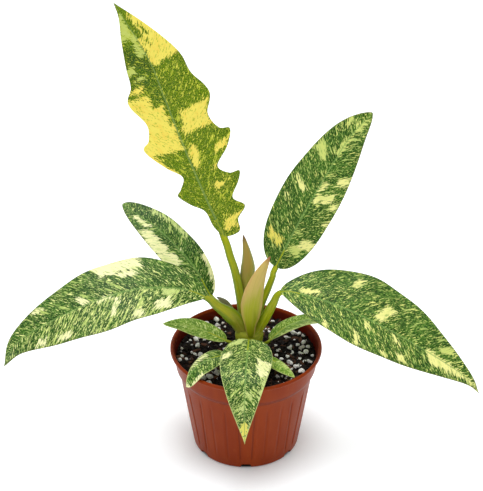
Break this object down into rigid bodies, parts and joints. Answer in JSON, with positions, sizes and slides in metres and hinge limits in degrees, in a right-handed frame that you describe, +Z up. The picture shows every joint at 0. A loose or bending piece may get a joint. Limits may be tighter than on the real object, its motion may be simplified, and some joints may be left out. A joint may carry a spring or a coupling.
{
  "type": "potted philodendron",
  "caption": "Variegated philodendron in a round nursery pot: a short crown carries strap and lobed leaves on their own stalks, set in potting mix.",
  "frame": {"origin": "middle of the pot's flat underside", "axes": "+X to the right as pictured, +Y to the back, +Z up along the pot's axis"},
  "size_m": [0.365, 0.1641, 0.358],
  "materials": {
    "terracotta_plastic": "satin moulded terracotta-coloured plastic",
    "potting_mix": "loose dark peat and bark",
    "perlite": "chalky off-white expanded grains lying in the mix",
    "stem": "fleshy olive stem with tan leaf scars",
    "leaf": "semi-gloss green blade flecked and patched with cream, on a glossy yellow-green stalk",
    "tall_leaf": "semi-gloss olive blade with broad yellow sectors, on a glossy yellow-green stalk",
    "sheath": "satin olive sheath, pinkish cream to brown towards the tip"
  },
  "bodies": {
    "root": {"pot": "terracotta_plastic", "potting_mix": "potting_mix", "crown": "stem", "leaf_tall_lobed": "tall_leaf", "leaf_upper_right": "leaf", "leaf_back_left": "leaf", "leaf_left": "leaf", "leaf_right": "leaf", "leaf_front": "leaf", "leaf_small_left": "leaf", "leaf_small_right": "leaf", "leaf_small_front_left": "leaf", "leaf_small_front_right": "leaf", "sheath_front": "sheath", "sheath_rear": "sheath", "sheath_left": "sheath", "sheath_right": "sheath"}
  },
  "joints": []
}
